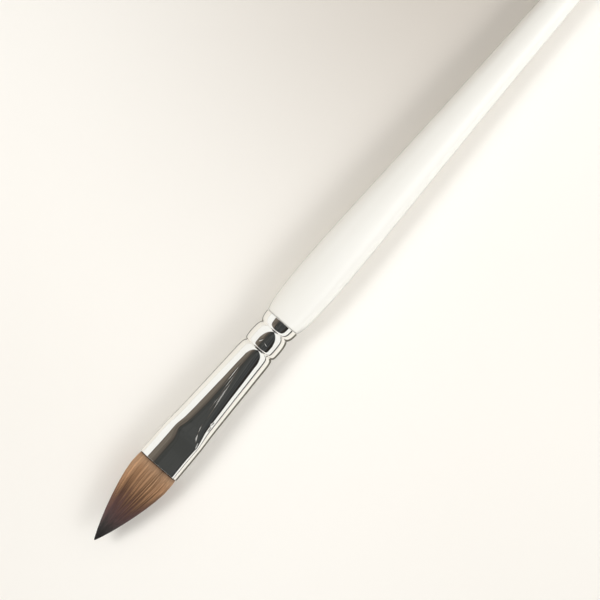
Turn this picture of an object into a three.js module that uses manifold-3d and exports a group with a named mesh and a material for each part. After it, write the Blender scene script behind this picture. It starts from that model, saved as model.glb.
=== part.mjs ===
// A fine detail brush: a lacquered wooden handle, a plated tube rolled onto its tenon and pressed flat
// at the mouth, and a pointed tuft of natural hair set in the mouth.
//
// Millimetres, +Z up. The brush lies along X, its hair towards -X and the pressed side up. The origin is
// on the surface that it lies on, under the middle of its length. Pieces are built in brush coordinates,
// with x = 0 at the mouth of the ferrule and the axis at y = z = 0.

import * as THREE from 'three';
import { mergeVertices } from 'three/addons/utils/BufferGeometryUtils.js';
import Module from 'manifold-3d';

const wasm = await Module();
wasm.setup();

// ---- Driving dimensions ----

const sides = 32; // flats round every turned and drawn piece
const curveSteps = 6; // steps in each curve of the handle's outline

// Ferrule: the drawn tube, before it is pressed
const ferruleLength = 36;
const wall = 0.35;
const mouthRadius = 3.77;
const tubeRadius = 3.58; // just ahead of the grooves
const lipRadius = 3.68;
const lipEdge = 0.4; // width of the lip's edge before it curves in to the rear groove

// Ferrule: the two rolled grooves and the bead between them
const grooveDepth = 0.53;
const grooveWidth = 1.5;
const rearGroove = 2.3; // from the lip to the middle of the rear groove
const grooveSpacing = 4.5;
const beadRadius = 3.55;
const shoulderDrop = 0.08; // how far the bead and the tube round off before a groove
const shoulderLength = 0.7;

// Ferrule: how far each side is pressed in, along the tube from the mouth
const mouthPress = 1.27;
const flatPress = 1.06;
const creasePress = 0.75;
const flatLength = 7.8;
const creaseLength = 2.6;
const roundLength = 0.55; // tube left round, ahead of the front groove's shoulder

// Handle, measured from the lip
const handleLength = 126;
const shoulderRadius = 3.75;
const shoulderEdge = 0.3; // rounding of the shoulder
const bellyRadius = 4.65;
const bellyStart = 12;
const bellyEnd = 14;
const buttRadius = 2.5;
const swellPull = 1.5; // the pulls shape the curves between these places
const swellPullRadius = 4.3;
const bellyPull = 6;
const taperPull = 12;
const waistPull = 49;
const waistPullRadius = 2.8;

// Handle tenon, inside the ferrule
const tenonLength = 16;
const tenonTipRadius = 2.6;
const tenonTaper = 7; // length of the tapered end
const tenonClearance = 0.1;

// Hair, measured out from the mouth
const hairLength = 18.8;
const bellyOut = 2.5; // where the tuft is fullest
const bellyHalfWidth = 4.5;
const bellyHalfThickness = 2.3;
const middleOut = 7;
const middleHalfWidth = 3.87;
const middleHalfThickness = 1.95;
const taperOut = 11.6;
const taperHalfWidth = 2.69;
const taperHalfThickness = 1.3;
const pointHalfWidth = 0.22;
const pointHalfThickness = 0.18;

// Strands and the set roots that hold them
const strandRadius = 0.125;
const strandPitch = 0.31;
const layerPitch = 0.31;
const tuftClearance = 0.09; // from the roots to the wall of the ferrule
const rootMargin = 0.18; // set resin outside each ring's outer strands
const ringClearance = 0.05; // between the rings of roots
const rootRecess = 0.2; // from the mouth in to the set roots
const rootDepth = 2.8;
const strandSeat = 0.2; // how deep a strand is modelled in its roots
const outerTipSpread = 6; // from the point back to where the first strands end
const middleTipSpread = 8;
const coreTipSpread = 11;
const tipCrowding = 1.5; // over 1, more strands end near the point

// Inside the ferrule
const setClearance = 0.1; // between the pieces set in the tube, and to the tube
const cementDepth = 1.8; // glue between the plug and the tenon
const threadOffset = 4.4; // from the rear of the plug to the thread
const threadWidth = 2.4;
const threadThickness = 0.4;

// ---- Sizes that follow ----

const overallLength = hairLength + ferruleLength + handleLength;
const axisHeight = bellyRadius * Math.cos(Math.PI / sides);
const rearGrooveAt = ferruleLength - rearGroove;
const frontGrooveAt = rearGrooveAt - grooveSpacing;
const tubeEnd = frontGrooveAt - grooveWidth / 2 - shoulderLength;
const pressEnd = tubeEnd - roundLength;
const quarterArc = 4 / 3 * (Math.SQRT2 - 1); // pull of a curve that follows a quarter circle
const pressedFlat = press => press * Math.PI / 2; // keeps the girth of the tube
const rootRear = rootRecess + rootDepth;
const plugFront = rootRear + setClearance;
const tenonTip = ferruleLength - tenonLength;
const cementFront = tenonTip - setClearance - cementDepth;
const plugRear = cementFront - setClearance;
const tenonFull = tenonTip + tenonTaper;
const cementRear = tenonTip + tenonTaper / 2;

// ---- Shapes of the tube ----

// Value at x of a line through [x, value] points.
function along(points, x) {
  const next = Math.max(1, points.findIndex(point => point[0] >= x));
  const [x0, value0] = points[next - 1];
  const [x1, value1] = points[next];
  return THREE.MathUtils.mapLinear(x, x0, x1, value0, value1);
}

// A rolled groove, between the radii of the metal before and after it.
function rolledGroove(middle, before, after) {
  const bottom = tubeRadius - grooveDepth;
  return [-2, -1, 0, 1, 2].map(step => {
    const top = step < 0 ? before : after;
    const rise = Math.sin(Math.abs(step) * Math.PI / 4) ** 2;
    return [middle + step * grooveWidth / 4, bottom + (top - bottom) * rise];
  });
}

// Outer radius of the tube, unpressed, from the mouth to the lip.
const tubeOutline = [
  [0, mouthRadius],
  [tubeEnd, tubeRadius],
  ...rolledGroove(frontGrooveAt, tubeRadius - shoulderDrop, beadRadius - shoulderDrop),
  [(frontGrooveAt + rearGrooveAt) / 2, beadRadius],
  ...rolledGroove(rearGrooveAt, beadRadius - shoulderDrop, beadRadius - shoulderDrop),
  [ferruleLength - lipEdge, lipRadius],
  [ferruleLength, lipRadius],
];

// How far each side is pressed in.
const pressing = [
  [0, mouthPress],
  [flatLength, flatPress],
  [flatLength + creaseLength, creasePress],
  [pressEnd, 0],
  [ferruleLength, 0],
];

// Every x where the outline or the pressing bends, from start to end.
function bends(start, end) {
  const places = [...tubeOutline, ...pressing].map(point => point[0]);
  const inside = places.filter(x => x > start && x < end).sort((a, b) => a - b);
  const apart = inside.filter((x, i) => i === 0 || x - inside[i - 1] > 1e-6);
  return [start, ...apart, end];
}

// A ring of the tube's section at x, a distance inside its outer surface.
function tubeRing(x, depth) {
  const press = along(pressing, x);
  return { x, radius: along(tubeOutline, x) - depth - press, flat: pressedFlat(press) };
}

const roundRing = (x, radius) => ({ x, radius, flat: 0 });
const onAxis = x => roundRing(x, 0);

// ---- Making solids ----

// A closed surface through rings that are round, or round with a flat stretch above and below.
function turned(rings) {
  const outline = rings.map(ring => new THREE.Vector2(ring.radius, ring.x));
  const geometry = new THREE.LatheGeometry(outline, sides, Math.PI / sides);
  const place = geometry.attributes.position;
  for (let i = 0; i < place.count; i++) {
    const { x, flat } = rings[i % rings.length];
    const across = place.getZ(i);
    place.setXYZ(i, x, across + Math.sign(across) * flat, place.getX(i));
  }
  return closed(geometry);
}

// The same surface with its shared corners merged and its empty triangles left out.
function closed(geometry) {
  geometry.deleteAttribute('normal');
  geometry.deleteAttribute('uv');
  const merged = mergeVertices(geometry, 1e-4);
  const corners = merged.index.array;
  const kept = [];
  for (let i = 0; i < corners.length; i += 3) {
    const [a, b, c] = corners.slice(i, i + 3);
    if (a !== b && b !== c && c !== a) kept.push(a, b, c);
  }
  merged.setIndex(kept);
  return merged;
}

function toManifold(geometry) {
  return new wasm.Manifold(new wasm.Mesh({
    numProp: 3,
    vertProperties: new Float32Array(geometry.attributes.position.array),
    triVerts: new Uint32Array(geometry.index.array),
  }));
}

function fromManifold(solid) {
  const { vertProperties, triVerts } = solid.getMesh();
  const geometry = new THREE.BufferGeometry();
  geometry.setAttribute('position', new THREE.BufferAttribute(vertProperties, 3));
  geometry.setIndex(new THREE.BufferAttribute(triVerts, 1));
  return geometry;
}

function piece(name, geometry, color, roughness, metalness = 0) {
  const material = new THREE.MeshStandardMaterial({ color, roughness, metalness, flatShading: true });
  const mesh = new THREE.Mesh(geometry, material);
  mesh.name = name;
  return mesh;
}

// ---- Handle and ferrule ----

// Outline of the handle behind the lip: a swell to the belly, a long taper and a domed butt.
function handleOutline() {
  const butt = handleLength - buttRadius;
  const domePull = buttRadius * quarterArc;
  const outline = new THREE.Path();
  outline.moveTo(setClearance, shoulderRadius - shoulderEdge);
  outline.lineTo(setClearance + shoulderEdge, shoulderRadius);
  outline.bezierCurveTo(
    swellPull, swellPullRadius, bellyStart - bellyPull, bellyRadius, bellyStart, bellyRadius);
  outline.lineTo(bellyEnd, bellyRadius);
  outline.bezierCurveTo(
    bellyEnd + taperPull, bellyRadius, bellyEnd + waistPull, waistPullRadius, butt, buttRadius);
  outline.bezierCurveTo(butt + domePull, buttRadius, handleLength, domePull, handleLength, 0);
  return outline.getPoints(curveSteps);
}

const tenonRadius = x => along(tubeOutline, x) - wall - tenonClearance;

function handle() {
  const grip = bends(tenonFull, ferruleLength).map(x => roundRing(x, tenonRadius(x)));
  const outside = handleOutline().map(point => roundRing(ferruleLength + point.x, point.y));
  const shoulder = roundRing(outside[0].x, grip.at(-1).radius);
  const rings = [
    onAxis(tenonTip), roundRing(tenonTip, tenonTipRadius), ...grip.slice(0, -1), shoulder, ...outside,
  ];
  return piece('handle', turned(rings), '#f4f3ef', 0.12);
}

function ferrule() {
  const places = bends(0, ferruleLength);
  const outer = places.map(x => tubeRing(x, 0));
  const inner = places.map(x => tubeRing(x, wall)).reverse();
  return piece('ferrule', turned([...outer, ...inner, outer[0]]), '#c9c9c8', 0.1, 1);
}

// ---- What is set inside the ferrule ----

const setDepth = wall + setClearance;

// The resin round the roots, with a channel for the thread.
function rootPlug() {
  const channelRear = plugRear - threadOffset;
  const channelFront = channelRear - threadWidth - 2 * setClearance;
  const channelDepth = setDepth + threadThickness + setClearance;
  const rings = [
    onAxis(plugFront),
    ...bends(plugFront, channelFront).map(x => tubeRing(x, setDepth)),
    ...bends(channelFront, channelRear).map(x => tubeRing(x, channelDepth)),
    ...bends(channelRear, plugRear).map(x => tubeRing(x, setDepth)),
    onAxis(plugRear),
  ];
  return piece('root_plug', turned(rings), '#8a6a3c', 0.5);
}

function bindingThread() {
  const rear = plugRear - threadOffset - setClearance;
  const places = bends(rear - threadWidth, rear);
  const outer = places.map(x => tubeRing(x, setDepth));
  const inner = places.map(x => tubeRing(x, setDepth + threadThickness)).reverse();
  return piece('binding_thread', turned([...outer, ...inner, outer[0]]), '#e4dccb', 0.9);
}

// A cup of glue between the plug and the tapered end of the tenon.
function handleCement() {
  const tenonTaperLine = [[tenonTip, tenonTipRadius], [tenonFull, tenonRadius(tenonFull)]];
  const boreAt = x => {
    const press = along(pressing, x);
    return { x, radius: along(tenonTaperLine, x) + setClearance, flat: pressedFlat(press) };
  };
  const floor = tenonTip - setClearance;
  const bore = bends(tenonTip, cementRear).map(boreAt).reverse();
  const rings = [
    onAxis(cementFront),
    ...bends(cementFront, cementRear).map(x => tubeRing(x, setDepth)),
    ...bore,
    { ...bore.at(-1), x: floor },
    onAxis(floor),
  ];
  return piece('handle_cement', turned(rings), '#d8c79a', 0.6);
}

// ---- Hair ----

// The roots fill the mouth: two half rounds joined by flats.
const rootFlat = pressedFlat(mouthPress);
const rootRadius = mouthRadius - mouthPress - wall - tuftClearance;
const layerRadius = layer => rootRadius - rootMargin - layer * layerPitch;
const layerCount = Math.floor((rootRadius - rootMargin) / layerPitch) + 1;
const goldenShare = (Math.sqrt(5) - 1) / 2; // spreads the strands' ends evenly

// The tuft narrows from its fullest place to its point, as [out, half width, half thickness].
const tuftStations = [
  [-rootRecess - strandSeat, rootFlat + rootRadius, rootRadius],
  [bellyOut, bellyHalfWidth, bellyHalfThickness],
  [middleOut, middleHalfWidth, middleHalfThickness],
  [taperOut, taperHalfWidth, taperHalfThickness],
  [hairLength, pointHalfWidth, pointHalfThickness],
];
const innerStations = tuftStations.filter(([out]) => out !== middleOut);

function roundedOutline(radius) {
  const outline = new THREE.Shape();
  outline.absarc(rootFlat, 0, radius, -Math.PI / 2, Math.PI / 2);
  outline.absarc(-rootFlat, 0, radius, Math.PI / 2, Math.PI * 3 / 2);
  outline.closePath();
  return outline;
}

// Places of the strands on one layer, each with the way out of the tuft there.
function strandPlaces(layer) {
  const radius = layerRadius(layer);
  if (radius < layerPitch / 2) {
    const count = Math.floor(2 * rootFlat / strandPitch);
    return Array.from({ length: count }, (_, i) => {
      const y = (i - (count - 1) / 2) * strandPitch;
      return { at: new THREE.Vector2(y, 0), out: new THREE.Vector2(0, 1) };
    });
  }
  const outline = roundedOutline(radius);
  const count = Math.round(outline.getLength() / strandPitch);
  return Array.from({ length: count }, (_, i) => {
    const share = (i + (layer % 2) / 2) / count;
    const way = outline.getTangentAt(share);
    return { at: outline.getPointAt(share), out: new THREE.Vector2(way.y, -way.x) };
  });
}

// A three-sided strand that follows the tuft's taper and ends in a point.
function addStrand(places, corners, stations, { at, out }, end) {
  const first = places.length / 3;
  const [, rootWidth, rootThickness] = stations[0];
  const widthLine = stations.map(([distance, width]) => [distance, width / rootWidth]);
  const thicknessLine = stations.map(([distance, , thickness]) => [distance, thickness / rootThickness]);
  const rings = stations.map(station => station[0]).filter(distance => distance < end);
  const scaled = (place, distance) => [
    -distance,
    place.x * along(widthLine, distance),
    place.y * along(thicknessLine, distance),
  ];
  for (const distance of rings) {
    for (let corner = 0; corner < 3; corner++) {
      const turn = corner * Math.PI * 2 / 3;
      const arm = out.clone().rotateAround(new THREE.Vector2(), turn).multiplyScalar(strandRadius);
      places.push(...scaled(at.clone().add(arm), distance));
    }
  }
  places.push(...scaled(at, end));
  const tip = first + rings.length * 3;
  corners.push(first, first + 1, first + 2);
  for (let corner = 0; corner < 3; corner++) {
    const next = (corner + 1) % 3;
    for (let ring = 0; ring < rings.length - 1; ring++) {
      const a = first + ring * 3 + corner;
      const b = first + ring * 3 + next;
      corners.push(a, a + 3, b, b, a + 3, b + 3);
    }
    const last = first + (rings.length - 1) * 3;
    corners.push(last + corner, tip, last + next);
  }
}

// A ring of set roots between two layers, or the solid middle, with the strands fused to it.
function tuftRing(name, firstLayer, lastLayer, stations, tipSpread, colour) {
  const outline = roundedOutline(layerRadius(firstLayer) + rootMargin);
  const innerRadius = layerRadius(lastLayer + 1) + rootMargin + ringClearance;
  const isMiddle = lastLayer === layerCount - 1;
  if (!isMiddle) outline.holes.push(roundedOutline(innerRadius));
  const slab = new THREE.ExtrudeGeometry(outline, {
    depth: rootDepth, bevelEnabled: false, curveSegments: sides / 4,
  });
  const shapeToBrush = new THREE.Matrix4().makeBasis(
    new THREE.Vector3(0, 1, 0), new THREE.Vector3(0, 0, 1), new THREE.Vector3(1, 0, 0));
  slab.applyMatrix4(shapeToBrush);
  slab.translate(rootRecess, 0, 0);

  const places = [];
  const corners = [];
  let count = 0;
  for (let layer = firstLayer; layer <= lastLayer; layer++) {
    for (const place of strandPlaces(layer)) {
      const share = (count * goldenShare) % 1;
      addStrand(places, corners, stations, place, hairLength - tipSpread * share ** tipCrowding);
      count += 1;
    }
  }
  const strands = new THREE.BufferGeometry();
  strands.setAttribute('position', new THREE.Float32BufferAttribute(places, 3));
  strands.setIndex(corners);

  const tuft = toManifold(closed(slab)).add(toManifold(strands));
  return piece(name, fromManifold(tuft), colour, 0.6);
}

// ---- The brush ----

const brush = new THREE.Group();
brush.name = 'brush';
brush.position.set(hairLength - overallLength / 2, 0, axisHeight);
brush.add(
  handle(),
  ferrule(),
  rootPlug(),
  bindingThread(),
  handleCement(),
  tuftRing('outer_hairs', 0, 1, tuftStations, outerTipSpread, '#a8744f'),
  tuftRing('middle_hairs', 2, 3, innerStations, middleTipSpread, '#8c6244'),
  tuftRing('core_hairs', 4, layerCount - 1, innerStations, coreTipSpread, '#5e4646'),
);

const detailBrush = new THREE.Group();
detailBrush.name = 'detail_brush';
detailBrush.add(brush);

export default detailBrush;
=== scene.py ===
"""Looks of a fine detail brush: lacquered handle, pressed bright ferrule and pointed tuft of hair.

The brush lies along X with its hair towards -X. Pieces are modelled in millimetres with x = 0 at
the mouth of the ferrule and the axis at y = z = 0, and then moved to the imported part's place in
metres.
"""

import math

import bmesh
import bpy
import numpy as np
from mathutils import Matrix, Vector
from mathutils.geometry import interpolate_bezier


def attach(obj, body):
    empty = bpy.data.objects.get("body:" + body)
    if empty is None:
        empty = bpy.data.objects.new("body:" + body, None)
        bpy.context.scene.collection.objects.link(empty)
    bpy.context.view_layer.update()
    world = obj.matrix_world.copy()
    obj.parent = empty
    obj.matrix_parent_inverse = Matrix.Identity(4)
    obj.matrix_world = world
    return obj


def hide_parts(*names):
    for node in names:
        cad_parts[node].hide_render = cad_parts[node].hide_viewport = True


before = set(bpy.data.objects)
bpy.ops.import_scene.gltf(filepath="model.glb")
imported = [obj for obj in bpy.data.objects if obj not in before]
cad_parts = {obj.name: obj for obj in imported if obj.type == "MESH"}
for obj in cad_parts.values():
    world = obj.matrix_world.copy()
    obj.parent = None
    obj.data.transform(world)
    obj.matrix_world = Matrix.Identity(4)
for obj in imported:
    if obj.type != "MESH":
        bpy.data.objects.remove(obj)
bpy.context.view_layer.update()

# ---- Sizes, in millimetres ----

AXIS_HEIGHT = 4.6276  # of the brush's axis over the surface it lies on
MOUTH_AT = -71.6  # the ferrule's mouth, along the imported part
FERRULE_LENGTH = 36
WALL = 0.35
EDGE_ROUNDING = 0.06  # of the ferrule's cut edges

# Ferrule, before it is pressed: places are behind the mouth
MOUTH_RADIUS, TUBE_RADIUS, TUBE_TO = 3.77, 3.58, 26.2
GROOVES = (29.2, 33.7)
GROOVE_RADIUS = 3.05
BEAD_AT, BEAD_RADIUS = 31.1, 3.56
LIP_RADIUS = 3.7

# The grooves, which a sharp wheel rolled, and their round shoulders. Each curve goes from a first
# to a last place and radius, shaped by the two pulls between them.
GROOVE_CURVES = [
    [(TUBE_TO, TUBE_RADIUS), (28.3, TUBE_RADIUS), (28.9, 3.42), (GROOVES[0], GROOVE_RADIUS)],
    [(GROOVES[0], GROOVE_RADIUS), (29.4, 3.5), (29.6, BEAD_RADIUS), (BEAD_AT, BEAD_RADIUS)],
    [(BEAD_AT, BEAD_RADIUS), (32.2, BEAD_RADIUS), (33.3, 3.45), (GROOVES[1], GROOVE_RADIUS)],
    [(GROOVES[1], GROOVE_RADIUS), (34, 3.45), (34.6, 3.66), (FERRULE_LENGTH, LIP_RADIUS)]]

# How far each side is pressed in, along the tube. The jaws went deepest at their edges.
PRESSED_IN = [(0, 1.27), (4, 1.17), (7.8, 1.25), (10.6, 0.76), (27.2, 0), (36, 0)]
# The press that gives the tube's width, which stays fair
WIDENED_BY = [(0, 1.27), (7.8, 1.15), (10.6, 0.76), (27.2, 0), (36, 0)]
# How far the flat reaches from the middle, as shares of the depth: the jaws met off the middle, to
# -Y, and the metal buckled at their rear edge on the +Y side
FLAT_TO_PLUS_Y = [(0, 0.1), (6, 0.1), (8.2, 1.1), (11.5, 0.6), (16, 0.1), (36, 0.1)]
FLAT_TO_MINUS_Y = 2.4

# Creases in the ferrule: (x, y, turn in degrees, half length, half width, depth)
CREASES = [
    # Where the metal gathered behind the jaws
    (8.75, -2.05, 26, 1.4, 0.14, 0.052), (10.6, -1.35, 14, 1.7, 0.12, 0.035),
    (7.9, -3.1, 14, 1.2, 0.2, 0.05), (11.6, -2.8, 4, 0.9, 0.2, 0.06),
    (12.8, -2.6, -14, 0.6, 0.18, 0.055),
    # Long streaks on the tube
    (17.9, -0.47, 7.5, 8, 0.13, 0.04), (16.4, -0.2, 3, 4, 0.1, 0.026),
    (20.8, 0.25, 4, 4.5, 0.12, 0.03), (22.5, 0.75, 2, 4, 0.16, 0.03),
    # Dents in the bead
    (30.8, -0.4, 72, 0.9, 0.15, 0.042), (30.9, 0.85, -27, 0.9, 0.2, 0.026)]

# Handle: tenon in the ferrule, then a swell, a long taper and a domed butt
TENON_TIP, TENON_TIP_RADIUS, TENON_FULL = 20, 2.6, 27
TENON_CLEARANCE = 0.1
SHOULDER_AT, SHOULDER_RADIUS, SHOULDER_ROUNDING = 36.1, 3.75, 0.3
BELLY_FROM, BELLY_TO, BELLY_RADIUS = 48, 50, 4.62
BUTT_AT, BUTT_RADIUS, HANDLE_END = 159.5, 2.5, 162
SWELL_PULLS = [(37.5, 4.3), (42, BELLY_RADIUS)]
TAPER_PULLS = [(62, BELLY_RADIUS), (99, 2.8)]
SHOULDER_PULL, BUTT_PULL = 0.55, 0.5523  # of the rounding, for curves like a quarter circle

# Hair: the dressed tuft's outline, out from the mouth
TUFT_LENGTH = 18.8
ROOT_HALF_WIDTH, POINT_HALF_WIDTH = 4.08, 0.1
TUFT_PULLS = [(2.5, 5.7), (15, 2.0)]
THICKNESS_TO_WIDTH = 0.505
FLAT_SHARES = (0.03, 0.72)  # of the half width, where the mouth's section is flat to +Y and to -Y
ROUND_BY = 6.0  # out from the mouth, where the section has become an oval
ROOT_DEPTH = 1.6  # behind the mouth
LOCKS = 84  # of hair of one tone, round the tuft
HAIR_ROWS = 8  # pieces in a hair's length
HEART_SIDES, HEART_ROWS, HEART_RIBS = 72, 40, 36

MM = 0.001
TO_PART = Matrix.Translation((MOUTH_AT * MM, 0, AXIS_HEIGHT * MM)) @ Matrix.Scale(MM, 4)
AROUND = 128  # faces round a turned piece
SAME_PLACE = 1e-4  # corners closer than this become one

# Sockets of a node that mixes two colours
FACTOR, COLOUR_A, COLOUR_B, MIXED = 0, 6, 7, 2

rng = np.random.default_rng(7)


# ---- Making and placing pieces ----


def linear(hex_colour):
    """An sRGB colour such as "#C0FFEE" as the linear values that a shader takes."""
    channels = [int(hex_colour[i : i + 2], 16) / 255 for i in (1, 3, 5)]
    levels = [c / 12.92 if c <= 0.04045 else ((c + 0.055) / 1.055) ** 2.4 for c in channels]
    return (*levels, 1)


def set_up(node, settings):
    """Sets a node's own properties or its inputs."""
    for name, value in settings.items():
        if isinstance(name, str) and hasattr(node, name):
            setattr(node, name, value)
        else:
            node.inputs[name].default_value = value


def add(tree, kind, settings=None, links=None):
    """Adds a node. Settings name its own properties or its inputs, and links name what feeds an
    input."""
    node = tree.nodes.new(kind)
    set_up(node, settings or {})
    for name, source in (links or {}).items():
        tree.links.new(source, node.inputs[name])
    return node


def mesh_of(body, name):
    """The mesh of a modelled body, whose work is then done."""
    mesh = bpy.data.meshes.new(name)
    body.to_mesh(mesh)
    body.free()
    return mesh


def corners_of(mesh):
    """The places of a mesh's corners, in rows of x, y and z."""
    places = np.empty(len(mesh.vertices) * 3, np.float32)
    mesh.vertices.foreach_get("co", places)
    return places.reshape(-1, 3).astype(float)


def move_corners(mesh, places):
    mesh.vertices.foreach_set("co", places.astype(np.float32).ravel())


def write_attribute(mesh, name, values):
    attribute = mesh.attributes.new(name, "FLOAT", "POINT")
    attribute.data.foreach_set("value", np.ravel(values).astype(np.float32))


def finished(name, mesh, material, nodes, sharp_from=40):
    """Puts a modelled mesh in its place as a piece that stands for the CAD nodes. Its edges are
    sharp from an angle in degrees, or all smooth where that is 0."""
    mesh.name = name
    mesh.transform(TO_PART)
    mesh.shade_smooth()
    mesh.materials.append(material)
    piece = bpy.data.objects.new(name, mesh)
    bpy.context.scene.collection.objects.link(piece)
    if sharp_from:
        mesh.set_sharp_from_angle(angle=math.radians(sharp_from))
    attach(piece, "root")
    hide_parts(*nodes)


def turned(outline, closed=False):
    """A body from an outline of (place along the axis, radius), turned about the axis."""
    body = bmesh.new()
    corners = [body.verts.new((x, 0, radius)) for x, radius in outline]
    edges = [body.edges.new(pair) for pair in zip(corners, corners[1:])]
    if closed:
        edges.append(body.edges.new((corners[-1], corners[0])))
    bmesh.ops.spin(
        body, geom=corners + edges, cent=(0, 0, 0), axis=(1, 0, 0),
        angle=math.tau, steps=AROUND, use_merge=True)
    bmesh.ops.remove_doubles(body, verts=body.verts, dist=SAME_PLACE)
    bmesh.ops.dissolve_degenerate(body, edges=body.edges, dist=SAME_PLACE)
    bmesh.ops.recalc_face_normals(body, faces=body.faces)
    return body


def bent(start, first_pull, second_pull, end, steps):
    """Points of a curve between two ends, with the pulls that shape it."""
    given = [Vector((*point, 0)) for point in (start, first_pull, second_pull, end)]
    return [(point.x, point.y) for point in interpolate_bezier(*given, steps + 1)]


def joined(*curves):
    """Points of curves that run on from one another, each shared point once."""
    return [*curves[0], *(point for curve in curves[1:] for point in curve[1:])]


# ---- Ferrule ----


def eased(points, over):
    """Values along a broken line of points, with its bends eased over a length as metal bends."""
    step = 0.04
    margin = 3 * over
    places = np.arange(-margin, FERRULE_LENGTH + margin, step)
    reach = np.arange(-2 * over, 2 * over + step / 2, step)
    weights = np.exp(-2 * (reach / over) ** 2)
    values = np.convolve(np.interp(places, *zip(*points)), weights / weights.sum(), "same")
    inside = (places > -over) & (places < FERRULE_LENGTH + over)
    return places[inside], values[inside]


OUTSIDE = [(0, MOUTH_RADIUS), *joined(*(bent(*curve, steps=20) for curve in GROOVE_CURVES))]
TUBE_CURVE = eased(OUTSIDE, 0.06)
PRESS_CURVE = eased(PRESSED_IN, 0.8)
WIDTH_CURVE = eased(WIDENED_BY, 2.5)
FLAT_CURVE = eased(FLAT_TO_PLUS_Y, 0.5)


def at(x, curve):
    return float(np.interp(x, *curve))


def press(body):
    """Presses the tube between two flat jaws. The metal slides round as it flattens, so its girth
    stays, and its outline is smoother than its flats."""
    for corner in body.verts:
        x, y, z = corner.co
        depth = at(x, PRESS_CURVE)
        radius = math.hypot(y, z)
        half_girth, half_height = radius * math.pi / 2, radius - depth
        half_width = radius + at(x, WIDTH_CURVE) * (math.pi / 2 - 1)
        flat = depth * (FLAT_TO_MINUS_Y if y < 0 else at(x, FLAT_CURVE))
        arc = radius * math.atan2(abs(y), abs(z))  # from the middle of the upper or lower side
        turn = max(0, arc - flat) / (half_girth - flat) * math.pi / 2
        corner.co = (
            x,
            math.copysign(min(arc, flat) + (half_width - flat) * math.sin(turn), y),
            math.copysign(half_height * math.cos(turn), z))


def ring(body, x, radius, near=1e-3):
    """The edges round a turned body at a place and radius."""
    def on_ring(corner):
        off = math.hypot(corner.co.y, corner.co.z) - radius
        return abs(corner.co.x - x) < near and abs(off) < near

    return [edge for edge in body.edges if all(on_ring(corner) for corner in edge.verts)]


def make_ferrule():
    coarse, fine, fine_from = 0.25, 0.08, 28  # rows are closer together from the grooves on
    inner_rows = 60
    places = [
        *np.arange(0, fine_from, coarse),
        *np.arange(fine_from, FERRULE_LENGTH + fine / 2, fine)]
    outer = [(x, at(x, TUBE_CURVE)) for x in places]
    inner = [
        (x, at(x, TUBE_CURVE) - WALL) for x in np.linspace(FERRULE_LENGTH, 0, inner_rows)]
    body = turned(outer + inner, closed=True)
    for x, radius in (outer[0], outer[-1], inner[0], inner[-1]):
        bmesh.ops.bevel(
            body, geom=ring(body, x, radius), offset=EDGE_ROUNDING, segments=3,
            affect="EDGES", profile=0.5, material=-1)
    press(body)
    mesh = mesh_of(body, "ferrule")
    finished("pressed_ferrule", mesh, nickel_plate(), ["ferrule"])


# ---- Handle ----


def make_handle():
    tenon = [
        (x, at(x, TUBE_CURVE) - WALL - TENON_CLEARANCE)
        for x in np.arange(TENON_FULL, FERRULE_LENGTH, 0.3)]
    to_corner = SHOULDER_ROUNDING * (1 - SHOULDER_PULL)
    shoulder_end = (SHOULDER_AT + SHOULDER_ROUNDING, SHOULDER_RADIUS)
    shoulder = bent(
        (SHOULDER_AT, SHOULDER_RADIUS - SHOULDER_ROUNDING),
        (SHOULDER_AT, SHOULDER_RADIUS - to_corner),
        (SHOULDER_AT + to_corner, SHOULDER_RADIUS), shoulder_end, steps=4)
    swell = bent(shoulder_end, *SWELL_PULLS, (BELLY_FROM, BELLY_RADIUS), steps=24)
    taper = bent((BELLY_TO, BELLY_RADIUS), *TAPER_PULLS, (BUTT_AT, BUTT_RADIUS), steps=60)
    dome_pull = BUTT_RADIUS * BUTT_PULL
    dome = bent(
        (BUTT_AT, BUTT_RADIUS), (BUTT_AT + dome_pull, BUTT_RADIUS),
        (HANDLE_END, dome_pull), (HANDLE_END, 0), steps=12)
    outline = [
        (TENON_TIP, 0), (TENON_TIP, TENON_TIP_RADIUS), *tenon, (SHOULDER_AT, tenon[-1][1]),
        *joined(shoulder, swell), *joined(taper, dome)]
    mesh = mesh_of(turned(outline), "handle")
    finished("lacquered_handle", mesh, lacquer(), ["handle"])


# ---- Hair ----

TUFT_CURVE = np.array(bent(
    (0, ROOT_HALF_WIDTH), *TUFT_PULLS, (TUFT_LENGTH, POINT_HALF_WIDTH), steps=80))


def height_share(across, oval):
    """How high the tuft's section is at a share of its half width: flat-topped at the mouth, then
    an oval."""
    flat = np.where(across < 0, FLAT_SHARES[1], FLAT_SHARES[0])
    past_flat = np.clip((np.abs(across) - flat) / (1 - flat), 0, 1)
    return (1 - oval) * np.sqrt(1 - past_flat**2) + oval * np.sqrt(np.clip(1 - across**2, 0, 1))


def tuft_place(out, across, share):
    """Where hair is: out from the mouth, a share of the half width across, and a share of the way
    from the middle to the outside. Hair keeps its share across from root to tip, so that it runs
    straight."""
    width = np.interp(out, TUFT_CURVE[:, 0], TUFT_CURVE[:, 1])
    oval = np.clip(out / ROUND_BY, 0, 1)
    return width * share * across, width * share * THICKNESS_TO_WIDTH * height_share(across, oval)


def round_the_tuft(count):
    """Evenly spaced shares across and sides (1 up, -1 down), once round the tuft's section, and how
    far round each is."""
    angle = np.linspace(0, math.tau, 2001)
    across, height = np.cos(angle), THICKNESS_TO_WIDTH * np.sin(angle)
    length = np.concatenate([[0], np.cumsum(np.hypot(np.diff(across), np.diff(height)))])
    round_to = (np.arange(count) + rng.uniform(-0.5, 0.5, count)) / count * length[-1] % length[-1]
    turned_to = np.interp(round_to, length, angle)
    return np.cos(turned_to), np.where(np.sin(turned_to) < 0, -1, 1), round_to / length[-1]


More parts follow.
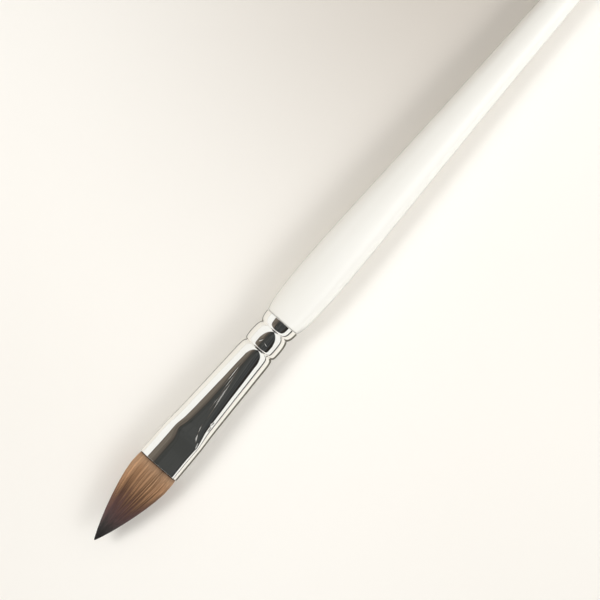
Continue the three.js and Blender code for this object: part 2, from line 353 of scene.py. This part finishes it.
def straight_rod(sides, rows):
    """A closed rod in rows, one long and of radius one, about the middle of its length."""
    rod = bmesh.new()
    bmesh.ops.create_cone(rod, cap_ends=True, segments=sides, radius1=1, radius2=1, depth=1)
    long_edges = [e for e in rod.edges if abs(e.verts[0].co.z - e.verts[1].co.z) > 0.5]
    bmesh.ops.subdivide_edges(rod, edges=long_edges, cuts=rows - 1)
    return rod


def straight_hairs(count):
    """A mesh of count equal straight hairs, four-sided and one long, all in the same place."""
    rod = straight_rod(4, HAIR_ROWS)
    bmesh.ops.translate(rod, verts=rod.verts, vec=(0, 0, 0.5))
    hair = bpy.data.objects.new("hair", mesh_of(rod, "hair"))
    bpy.context.scene.collection.objects.link(hair)
    copies = hair.modifiers.new("copies", "ARRAY")
    copies.count = count
    copies.use_relative_offset = False
    current = bpy.context.evaluated_depsgraph_get()
    hairs = bpy.data.meshes.new_from_object(hair.evaluated_get(current))
    bpy.data.objects.remove(hair)
    return hairs


def lay_hairs(name, material, node, count, shares, tips_back, thickness):
    """Lays tapering hairs side by side from their set roots to the tuft's point. The shares are how
    far out of its middle they lie, and the shortest end tips_back behind the point."""
    mesh = straight_hairs(count)
    corners = corners_of(mesh).reshape(count, -1, 3)
    t = corners[:, :, 2]  # the way along each hair
    turn = np.arctan2(corners[:, :, 1], corners[:, :, 0])

    each = (count, 1)
    across, side, lap = (values.reshape(each) for values in round_the_tuft(count))
    share = rng.uniform(*shares, each)
    end = TUFT_LENGTH - tips_back * rng.uniform(0, 1, each) ** 1.5  # more hairs end far out
    root = -ROOT_DEPTH + rng.uniform(-0.3, 0.3, each)
    # Hairs drift and bow by small shares of the half width, and cross their neighbours
    drift = rng.normal(0, 0.012, each)
    bow = rng.normal(0, 0.006, each)
    bow_at = rng.uniform(0, math.tau, each)

    out = root + (end - root) * t
    across_here = np.clip(across + drift * t + bow * np.sin(t * 5 + bow_at), -1, 1)
    # A hair is thinner at its root, full from a third of the way, and a fifth as thick at its tip
    thick = thickness * rng.uniform(0.8, 1.2, each) * (0.72 + 0.28 * np.minimum(1, t / 0.3))
    radius = thick * (1 - 0.8 * t**2.4) * 0.5
    y, z = tuft_place(out, across_here, share)
    inset = 1 - radius / np.maximum(np.hypot(y, z), radius)  # keeps the hair inside the outline
    hair_y = y * inset + radius * np.sin(turn)
    hair_z = (z * inset) * side + radius * np.cos(turn)
    move_corners(mesh, np.stack([-out, hair_y, hair_z], axis=2))
    colour_hairs(mesh, out, across, lap)
    finished(name, mesh, material, [node], sharp_from=0)


def colour_hairs(mesh, out, across, lap):
    """Writes each hair's tone, which carries a painted sheen on the tuft's flanks, and the depth of
    the tuft's colour along it. Hairs that lie together make a lock of one tone, and where one ends
    the tan of the next shows."""
    each = across.shape
    bounds = (np.arange(LOCKS) + rng.uniform(-0.5, 0.5, LOCKS)) / LOCKS
    lock = rng.uniform(-1, 1, LOCKS + 1)[np.searchsorted(np.sort(bounds), lap)]
    # Along a hair its tone comes and goes slowly
    strand = rng.normal(0, 0.2, each)
    strand = strand * np.sin(out * rng.uniform(0.15, 0.5, each) + rng.uniform(0, 6, each))
    own_tone = 0.26 * lock + strand + rng.normal(0, 0.13, each)
    # Hairs differ most in the belly. The flanks are lighter than the middle, a painted sheen, and
    #     the +Y flank lightest, painted light from the window on that side
    in_belly = np.clip(out / 4, 0.35, 1) * np.clip((14 - out) / 6, 0.25, 1)
    tone_and_painted_light = 0.34 + 0.14 * across + 0.27 * across**2 + own_tone * in_belly
    write_attribute(mesh, "tone_and_painted_light", np.clip(tone_and_painted_light, 0, 1))

    # The dark of the point starts further out in light locks and on the +Y flank, and always
    # reaches the tip
    darken = 1.6 * across - 4 * across**3 - 1.1 * lock + rng.normal(0, 1.1, each)
    fade = np.clip(1 - (out / TUFT_LENGTH) ** 3, 0, 1) * np.clip((out - 1.2) / 2.5, 0, 1)
    depth = np.minimum(out + darken * fade, TUFT_LENGTH) / TUFT_LENGTH
    write_attribute(mesh, "depth_of_colour", depth)


def make_heart(material):
    """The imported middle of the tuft, ribbed like hair, which no light comes through."""
    mesh = mesh_of(straight_rod(HEART_SIDES, HEART_ROWS), "heart")
    corners = corners_of(mesh)
    angle = np.arctan2(corners[:, 0], corners[:, 1])
    ribs = np.sin(angle * HEART_RIBS)
    root, end = -1.5, TUFT_LENGTH - 0.6
    out = root + (end - root) * (corners[:, 2] + 0.5)
    y, z = tuft_place(out, np.cos(angle), 0.93 + 0.015 * ribs)
    move_corners(mesh, np.stack([-out, y, z * np.sign(np.sin(angle))], axis=1))
    # Lighter on the ribs' crests and darker in the grooves between them, as painted shade
    write_attribute(mesh, "tone_and_painted_light", 0.35 + 0.1 * ribs)
    write_attribute(mesh, "depth_of_colour", out / TUFT_LENGTH)
    finished("tuft_heart", mesh, material, ["core_hairs"])


def make_tuft():
    hair = sable()
    lay_hairs(
        "outer_hair", hair, "outer_hairs",
        count=1100, shares=(0.955, 1.0), tips_back=5.5, thickness=0.13)
    lay_hairs(
        "middle_hair", hair, "middle_hairs",
        count=500, shares=(0.6, 0.95), tips_back=7, thickness=0.12)
    make_heart(hair)


# ---- Materials ----


def new_material(name, settings):
    """A node material with its shader set up, its tree and its shader."""
    material = bpy.data.materials.new(name)
    material.use_nodes = True
    shader = material.node_tree.nodes["Principled BSDF"]
    set_up(shader, settings)
    return material, material.node_tree, shader


def mottled(tree, place, light, dark, patches, detail):
    """A colour between two, in soft patches of which so many go to the metre."""
    cloud = add(tree, "ShaderNodeTexNoise", {"Scale": patches, "Detail": detail}, {"Vector": place})
    colour = add(
        tree, "ShaderNodeMix",
        {"data_type": "RGBA", COLOUR_A: linear(light), COLOUR_B: linear(dark)},
        {FACTOR: cloud.outputs["Fac"]})
    return colour.outputs[MIXED]


def swells(tree, place, along_each):
    """An uneven height whose swells differ in length: so many to the metre along each axis."""
    stretched = add(tree, "ShaderNodeMapping", {"Scale": along_each}, {"Vector": place})
    noise = add(
        tree, "ShaderNodeTexNoise", {"Scale": 1, "Detail": 2}, {"Vector": stretched.outputs[0]})
    return noise.outputs["Fac"]


def set_stops(ramp, stops):
    """Gives a new colour ramp, which has two stops, its own stops of (place, colour)."""
    points = ramp.color_ramp.elements
    for i, (place, colour) in enumerate(stops):
        point = points[i] if i < 2 else points.new(place)
        point.position = place
        point.color = linear(colour)


def lacquer():
    """Nitrocellulose lacquer: sprayed over a filled wooden handle and buffed, so white, deep and
    glossy, with a faint unevenness left by the spray."""
    material, tree, shader = new_material("buffed_white_lacquer", {
        "Roughness": 0.14, "IOR": 1.5, "Coat Weight": 0.6, "Coat Roughness": 0.03})
    place = add(tree, "ShaderNodeTexCoord").outputs["Object"]
    white = mottled(tree, place, "#F2F1EC", "#ECEAE3", patches=60, detail=3)
    tree.links.new(white, shader.inputs["Base Color"])
    # Orange peel of the sprayed coat, a swell about every 1.5 mm and some microns high
    peel = add(tree, "ShaderNodeTexNoise", {"Scale": 650, "Detail": 2}, {"Vector": place})
    bump = add(
        tree, "ShaderNodeBump", {"Strength": 0.12, "Distance": 0.02 * MM},
        {"Height": peel.outputs["Fac"]})
    tree.links.new(bump.outputs[0], shader.inputs["Normal"])
    return material


def nickel_plate():
    """Bright nickel plate on drawn brass: mirror-like, with faint rings from the polishing wheel, a
    slight unevenness of the drawn wall, and creases where the jaws pressed it."""
    material, tree, shader = new_material("bright_nickel_plate", {"Metallic": 1})
    place = add(tree, "ShaderNodeTexCoord").outputs["Object"]
    plate = mottled(tree, place, "#FBFAF7", "#F1EFEB", patches=180, detail=4)
    tree.links.new(plate, shader.inputs["Base Color"])
    # Polishing rings every 0.15 mm along the tube
    rings = swells(tree, place, (6500, 120, 120))
    rough = add(tree, "ShaderNodeMapRange", {"To Min": 0.03, "To Max": 0.085}, {"Value": rings})
    tree.links.new(rough.outputs[0], shader.inputs["Roughness"])
    # The wall's unevenness, about 1.5 mm from swell to swell across it and 12 mm along it
    wall = add(
        tree, "ShaderNodeBump", {"Strength": 0.3, "Distance": 0.06 * MM},
        {"Height": swells(tree, place, (80, 650, 650))})
    height = None
    for crease in CREASES:
        height = creased(tree, place, height, *crease)
    folds = add(
        tree, "ShaderNodeBump", {"Strength": 1, "Distance": MM, "invert": True},
        {"Height": height, "Normal": wall.outputs[0]})
    tree.links.new(folds.outputs[0], shader.inputs["Normal"])
    return material


def creased(tree, place, height, x, y, turn, half_length, half_width, depth):
    """Adds one crease to those of a surface: its depth in its middle and nothing past its ends."""
    through = 1000  # so that a crease is the same at any height
    along = add(tree, "ShaderNodeMapping", {
        "vector_type": "TEXTURE",
        "Location": (MOUTH_AT * MM + x * MM, y * MM, 0),
        "Rotation": (0, 0, math.radians(turn)),
        "Scale": (half_length * MM, half_width * MM, through)}, {"Vector": place})
    away = add(tree, "ShaderNodeVectorMath", {"operation": "LENGTH"}, {0: along.outputs[0]})
    fold = add(tree, "ShaderNodeMapRange", {
        "interpolation_type": "SMOOTHERSTEP", "From Min": 1, "From Max": 0, "To Max": depth},
        {"Value": away.outputs["Value"]}).outputs[0]
    if not height:
        return fold
    return add(tree, "ShaderNodeMath", {"operation": "MAXIMUM"}, {0: height, 1: fold}).outputs[0]


def sable():
    """Natural sable hair, washed and dressed to a point: tan at the ferrule, brown through the
    belly and almost black at the tips, with darker locks running along it."""
    material, tree, shader = new_material("dressed_sable_hair", {
        "Roughness": 0.5, "Specular IOR Level": 0.3})
    depth = add(tree, "ShaderNodeAttribute", {"attribute_name": "depth_of_colour"})
    # Each hair's tone, which also carries the painted sheen of the tuft's flanks and the painted
    # shade in the heart's grooves
    tone_and_painted_light = add(tree, "ShaderNodeAttribute", {"attribute_name": "tone_and_painted_light"})
    ramp = add(tree, "ShaderNodeValToRGB", links={"Fac": depth.outputs["Fac"]})
    # Colours by how far out from the mouth. The darkest, where the hair leaves the ferrule, are
    #     painted shade at the ferrule's edge
    colours = [
        (0, "#1E1712"), (0.12, "#2A201A"), (0.28, "#A8876B"), (1, "#C6A07D"), (3, "#BC926D"),
        (5, "#AE8562"), (6.5, "#987253"), (8, "#805F48"), (9.5, "#705244"), (11, "#6B4E49"),
        (12.5, "#68504E"), (14, "#5B4B4A"), (15.3, "#4B4543"), (16.8, "#373433"), (18.8, "#282624")]
    set_stops(ramp, [(out / TUFT_LENGTH, colour) for out, colour in colours])
    # Streaks inside a lock, 0.3 mm across and 5 mm long
    place = add(tree, "ShaderNodeTexCoord").outputs["Object"]
    streaks = 0.6
    streak = add(
        tree, "ShaderNodeMath", {"operation": "MULTIPLY_ADD", 1: streaks, 2: -streaks / 2},
        {0: swells(tree, place, (200, 3300, 3300))})
    level = add(
        tree, "ShaderNodeMath", {"operation": "ADD"},
        {0: tone_and_painted_light.outputs["Fac"], 1: streak.outputs[0]})
    shade = add(
        tree, "ShaderNodeMapRange", {"To Min": 0.42, "To Max": 1.2}, {"Value": level.outputs[0]})
    colour = add(
        tree, "ShaderNodeMix", {"data_type": "RGBA", "blend_type": "MULTIPLY", FACTOR: 1.0},
        {COLOUR_A: ramp.outputs[0], COLOUR_B: shade.outputs[0]})
    tree.links.new(colour.outputs[MIXED], shader.inputs["Base Color"])
    return material


def plain_setting(name, light, dark, size, roughness):
    """A cast or wound filling that the ferrule hides: a mottled colour, with patches of a size in
    millimetres."""
    material, tree, shader = new_material(name, {"Roughness": roughness})
    place = add(tree, "ShaderNodeTexCoord").outputs["Object"]
    colour = mottled(tree, place, light, dark, patches=1000 / size, detail=4)
    tree.links.new(colour, shader.inputs["Base Color"])
    return material


def dress_fillings():
    """Gives the CAD pieces inside the ferrule their own materials."""
    fillings = {
        # Epoxy resin, cast round the roots: amber and slightly glossy
        "root_plug": plain_setting("cast_epoxy_resin", "#9A7844", "#7A5C34", 1.5, 0.35),
        # Waxed linen thread: pale, dry and fibrous
        "binding_thread": plain_setting("waxed_linen_thread", "#E8E0CF", "#CFC4AC", 0.2, 0.9),
        # Casein glue, set matt and grey-beige
        "handle_cement": plain_setting("set_casein_glue", "#D2C9B4", "#B9AE96", 0.8, 0.7),
    }
    for name, material in fillings.items():
        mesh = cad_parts[name].data
        mesh.materials.clear()
        mesh.materials.append(material)


# ---- Studio ----

PICTURE = 600  # pixels across and down
PIXEL = 0.1905  # millimetres of the brush to a pixel
CENTRE = (-30.21, 0.2)  # in the middle of the picture, in millimetres
TURN = -49.2  # degrees from the part's X axis to the picture's right-hand side
CAMERA_FROM = 450  # millimetres over the axis
TABLE_REACH = 4  # metres from its middle to each side

# The soft shade painted on the table, in metres
SHADE_CENTRE = (0.05, 0.02, 0)
SHADE_REACH = (0.11, -0.01)  # away from its centre: none past the first, and never quite full
SHADE_SIDE = (-0.01, 0.014)  # along Y, over which it comes on
# The strip of painted shade on the table that only metal shows, in metres
STRIP_MIDDLE = -0.002  # in Y
STRIP_HALF_WIDTH = (0.0094, 0.0076)  # none past the first, and full within the second
STRIP_CHANGES = (-0.034, -0.036)  # in X, between the handle and the ferrule
STRIP_BY_HANDLE = 0.3  # its strength there, where it is full beside the ferrule

# The ceiling that metal shows, in degrees from straight up
CEILING_SIDES = (-48, 55)  # towards +Y and towards -Y
CEILING_END = 65  # bluntly, towards the hair and towards the handle
CEILING_POINT = 75  # where its sides would meet, towards the handle
CEILING_COLOURS = [  # from its +Y side to its -Y side
    (0, "#5A5149"), (0.03, "#635A51"), (0.08, "#81796F"), (0.16, "#857D72"), (0.24, "#6B635A"),
    (0.29, "#4A4540"), (0.32, "#383633"), (0.36, "#424341"), (0.76, "#414344"), (0.87, "#2F2C29"),
    (1, "#25211E")]
WALL_FOOT = (80, 90)  # degrees over which its colours run
WALL_FOOT_COLOURS = [(0, "#FFFFFC"), (0.15, "#3E3C36"), (0.97, "#FFFFFC")]


def make_camera():
    camera = bpy.data.cameras.new("overhead_camera")
    camera.lens = camera.sensor_width * CAMERA_FROM / (PICTURE * PIXEL)
    camera.clip_start, camera.clip_end = 0.01, 20
    holder = bpy.data.objects.new("overhead_camera", camera)
    holder.matrix_world = (
        Matrix.Translation((CENTRE[0] * MM, CENTRE[1] * MM, (AXIS_HEIGHT + CAMERA_FROM) * MM))
        @ Matrix.Rotation(math.radians(TURN), 4, "Z"))
    bpy.context.scene.collection.objects.link(holder)
    bpy.context.scene.camera = holder


def seen_directly(tree, rays):
    """1 where a mirror shows something to the eye, and 0 where it only throws light on the
    table."""
    lit = add(
        tree, "ShaderNodeMath", {"operation": "LESS_THAN", 1: 0.5},
        {0: rays.outputs["Diffuse Depth"]})
    seen = add(
        tree, "ShaderNodeMath", {"operation": "MULTIPLY"},
        {0: rays.outputs["Is Glossy Ray"], 1: lit.outputs[0]})
    return seen.outputs[0]


def painted_shade_by_the_handle(tree, place, y):
    """How much there is of the soft warm shade painted on the table beside the far half of the
    handle, on its side away from its window."""
    away = add(
        tree, "ShaderNodeVectorMath", {"operation": "DISTANCE", 1: SHADE_CENTRE}, {0: place})
    near = add(tree, "ShaderNodeMapRange", {
        "interpolation_type": "SMOOTHSTEP", "From Min": SHADE_REACH[0], "From Max": SHADE_REACH[1]},
        {"Value": away.outputs["Value"]})
    beyond = add(tree, "ShaderNodeMapRange", {
        "interpolation_type": "SMOOTHSTEP", "From Min": SHADE_SIDE[0], "From Max": SHADE_SIDE[1]},
        {"Value": y})
    shade = add(
        tree, "ShaderNodeMath", {"operation": "MULTIPLY"},
        {0: near.outputs[0], 1: beyond.outputs[0]})
    return shade.outputs[0]


def painted_shade_in_metal(tree, x, y):
    """How much there is of the painted shade on the table close beside the brush, which only
    bright metal shows.
    """
    off_middle = add(tree, "ShaderNodeMath", {"operation": "ADD", 1: -STRIP_MIDDLE}, {0: y})
    away = add(tree, "ShaderNodeMath", {"operation": "ABSOLUTE"}, {0: off_middle.outputs[0]})
    strength = add(tree, "ShaderNodeMapRange", {
        "From Min": STRIP_CHANGES[0], "From Max": STRIP_CHANGES[1], "To Min": STRIP_BY_HANDLE},
        {"Value": x})
    close = add(
        tree, "ShaderNodeMapRange",
        {"From Min": STRIP_HALF_WIDTH[0], "From Max": STRIP_HALF_WIDTH[1]},
        {"Value": away.outputs[0], "To Max": strength.outputs[0]})
    rays = add(tree, "ShaderNodeLightPath")
    seen = add(
        tree, "ShaderNodeMath", {"operation": "MULTIPLY"},
        {0: close.outputs[0], 1: seen_directly(tree, rays)})
    return seen.outputs[0]


def table_surface():
    """Matt warm white paint, with shades painted on it: a soft warm shade beside the far half
    of the handle, and a dark strip close beside the brush that only bright metal shows.
    """
    material, tree, shader = new_material("matt_white_table", {
        "Roughness": 1, "Specular IOR Level": 0})
    place = add(tree, "ShaderNodeTexCoord").outputs["Object"]
    axes = add(tree, "ShaderNodeSeparateXYZ", links={0: place})
    paint = mottled(tree, place, "#F9F7F2", "#F0ECE5", patches=9, detail=1)
    # A soft warm shade painted on the table beside the far half of the handle
    shady = add(
        tree, "ShaderNodeMix", {"data_type": "RGBA", COLOUR_B: linear("#C4BDB4")},
        {FACTOR: painted_shade_by_the_handle(tree, place, axes.outputs["Y"]), COLOUR_A: paint})
    # A dark strip of painted shade close beside the brush, which only bright metal shows
    shaded = add(
        tree, "ShaderNodeMix", {"data_type": "RGBA", COLOUR_B: linear("#726F65")},
        {FACTOR: painted_shade_in_metal(tree, axes.outputs["X"], axes.outputs["Y"]),
         COLOUR_A: shady.outputs[MIXED]})
    tree.links.new(shaded.outputs[MIXED], shader.inputs["Base Color"])
    return material


def make_table():
    body = bmesh.new()
    bmesh.ops.create_grid(body, x_segments=1, y_segments=1, size=TABLE_REACH)
    mesh = mesh_of(body, "table")
    mesh.materials.append(table_surface())
    table = bpy.data.objects.new("table", mesh)
    bpy.context.scene.collection.objects.link(table)


def make_window(name, place, aim, size, energy, spread):
    """One soft lamp, out of sight of the metal: lengths in metres, energy in watts and spread in
    degrees."""
    lamp = bpy.data.lights.new(name, "AREA")
    lamp.shape = "SQUARE"
    lamp.size = size
    lamp.energy = energy
    lamp.spread = math.radians(spread)
    window = bpy.data.objects.new(name, lamp)
    window.location = place
    window.rotation_euler = (Vector(aim) - window.location).to_track_quat("-Z", "Y").to_euler()
    window.visible_glossy = False
    bpy.context.scene.collection.objects.link(window)


def make_windows():
    make_window(
        "window_by_the_hair", place=(-0.25, 0.3, 0.5), aim=(-0.11, 0, 0),
        size=0.35, energy=0.197, spread=36)
    make_window(
        "window_by_the_handle", place=(0.16, -0.36, 0.36), aim=(0.1, 0, 0),
        size=0.3, energy=0.145, spread=38)


def ceiling_bounds(tree, axes, across):
    """The share of the way across the ceiling, and 1 outside it or 0 inside, with a soft edge."""
    # u is -1 and 1 at its sides, and v at its blunt ends. It reaches to where u**2 + v**6 is 1,
    # and no further than its pointed sides.
    u = add(tree, "ShaderNodeMapRange", {
        "clamp": False, "From Min": math.radians(CEILING_SIDES[0]),
        "From Max": math.radians(CEILING_SIDES[1]), "To Min": -1}, {"Value": across}).outputs[0]
    along = add(
        tree, "ShaderNodeMath", {"operation": "ARCTAN2"},
        {0: axes.outputs["X"], 1: axes.outputs["Z"]})
    v = add(
        tree, "ShaderNodeMath", {"operation": "MULTIPLY", 1: 1 / math.radians(CEILING_END)},
        {0: along.outputs[0]}).outputs[0]
    v_blunt = add(tree, "ShaderNodeMath", {"operation": "POWER", 1: 6}, {0: v})
    blunt = add(
        tree, "ShaderNodeMath", {"operation": "MULTIPLY_ADD"}, {0: u, 1: u, 2: v_blunt.outputs[0]})
    u_size = add(tree, "ShaderNodeMath", {"operation": "ABSOLUTE"}, {0: u})
    pointed = add(
        tree, "ShaderNodeMath", {"operation": "MULTIPLY_ADD", 1: CEILING_END / CEILING_POINT},
        {0: v, 2: u_size.outputs[0]})
    reach = add(
        tree, "ShaderNodeMath", {"operation": "MAXIMUM"},
        {0: blunt.outputs[0], 1: pointed.outputs[0]})
    outside = add(
        tree, "ShaderNodeMapRange", {"From Min": 0.95, "From Max": 1.0},
        {"Value": reach.outputs[0]})
    share = add(tree, "ShaderNodeMath", {"operation": "MULTIPLY_ADD", 1: 0.5, 2: 0.5}, {0: u})
    return share.outputs[0], outside.outputs[0]


def ceiling_colour(tree, directions, share):
    """The ceiling's colours across it, blotched by its beams."""
    ceiling = add(tree, "ShaderNodeValToRGB", links={"Fac": share})
    set_stops(ceiling, CEILING_COLOURS)
    uneven = add(
        tree, "ShaderNodeMapRange",
        {"From Min": 0.3, "From Max": 0.7, "To Min": 0.6, "To Max": 1.5},
        {"Value": swells(tree, directions, (1.2, 5.5, 5.5))})
    blotched = add(
        tree, "ShaderNodeMix", {"data_type": "RGBA", "blend_type": "MULTIPLY", FACTOR: 1.0},
        {COLOUR_A: ceiling.outputs[0], COLOUR_B: uneven.outputs[0]})
    return blotched.outputs[MIXED]


def bright_surroundings(tree, across):
    """What metal shows past the ceiling: brightness, and the wall's dark foot just over the table
    on the -Y side."""
    low = add(
        tree, "ShaderNodeMapRange",
        {"From Min": math.radians(WALL_FOOT[0]), "From Max": math.radians(WALL_FOOT[1])},
        {"Value": across})
    surroundings = add(tree, "ShaderNodeValToRGB", links={"Fac": low.outputs[0]})
    surroundings.color_ramp.interpolation = "CONSTANT"
    set_stops(surroundings, WALL_FOOT_COLOURS)
    return surroundings.outputs[0]


def make_room():
    """A pale room, with the dark ceiling that bright metal shows over the brush."""
    world = bpy.data.worlds.new("room")
    bpy.context.scene.world = world
    world.use_nodes = True
    tree = world.node_tree
    directions = add(tree, "ShaderNodeTexCoord").outputs["Generated"]
    axes = add(tree, "ShaderNodeSeparateXYZ", links={0: directions})
    minus_y = add(tree, "ShaderNodeMath", {"operation": "MULTIPLY", 1: -1}, {0: axes.outputs["Y"]})
    across = add(
        tree, "ShaderNodeMath", {"operation": "ARCTAN2"},
        {0: minus_y.outputs[0], 1: axes.outputs["Z"]}).outputs[0]
    share, outside = ceiling_bounds(tree, axes, across)
    seen_in_metal = add(tree, "ShaderNodeMix", {"data_type": "RGBA"}, {
        FACTOR: outside, COLOUR_A: ceiling_colour(tree, directions, share),
        COLOUR_B: bright_surroundings(tree, across)})
    # Walls, darker on the +Y side, and what the camera sees past the table
    rays = add(tree, "ShaderNodeLightPath")
    shady = add(
        tree, "ShaderNodeMapRange", {"From Min": -0.6, "From Max": 0.6},
        {"Value": axes.outputs["Y"]})
    walls = add(
        tree, "ShaderNodeMix",
        {"data_type": "RGBA", COLOUR_A: linear("#E2E2E2"), COLOUR_B: linear("#9C978F")},
        {FACTOR: shady.outputs[0]})
    plain = add(
        tree, "ShaderNodeMix", {"data_type": "RGBA", COLOUR_B: linear("#F7F5EF")},
        {FACTOR: rays.outputs["Is Camera Ray"], COLOUR_A: walls.outputs[MIXED]})
    room = add(tree, "ShaderNodeMix", {"data_type": "RGBA"}, {
        FACTOR: seen_directly(tree, rays), COLOUR_A: plain.outputs[MIXED],
        COLOUR_B: seen_in_metal.outputs[MIXED]})
    background = tree.nodes["Background"]
    tree.links.new(room.outputs[MIXED], background.inputs["Color"])
    set_up(background, {"Strength": 1})


make_ferrule()
make_handle()
make_tuft()
dress_fillings()
make_table()
make_windows()
make_room()
make_camera()
bpy.context.scene.view_settings.view_transform = "Standard"
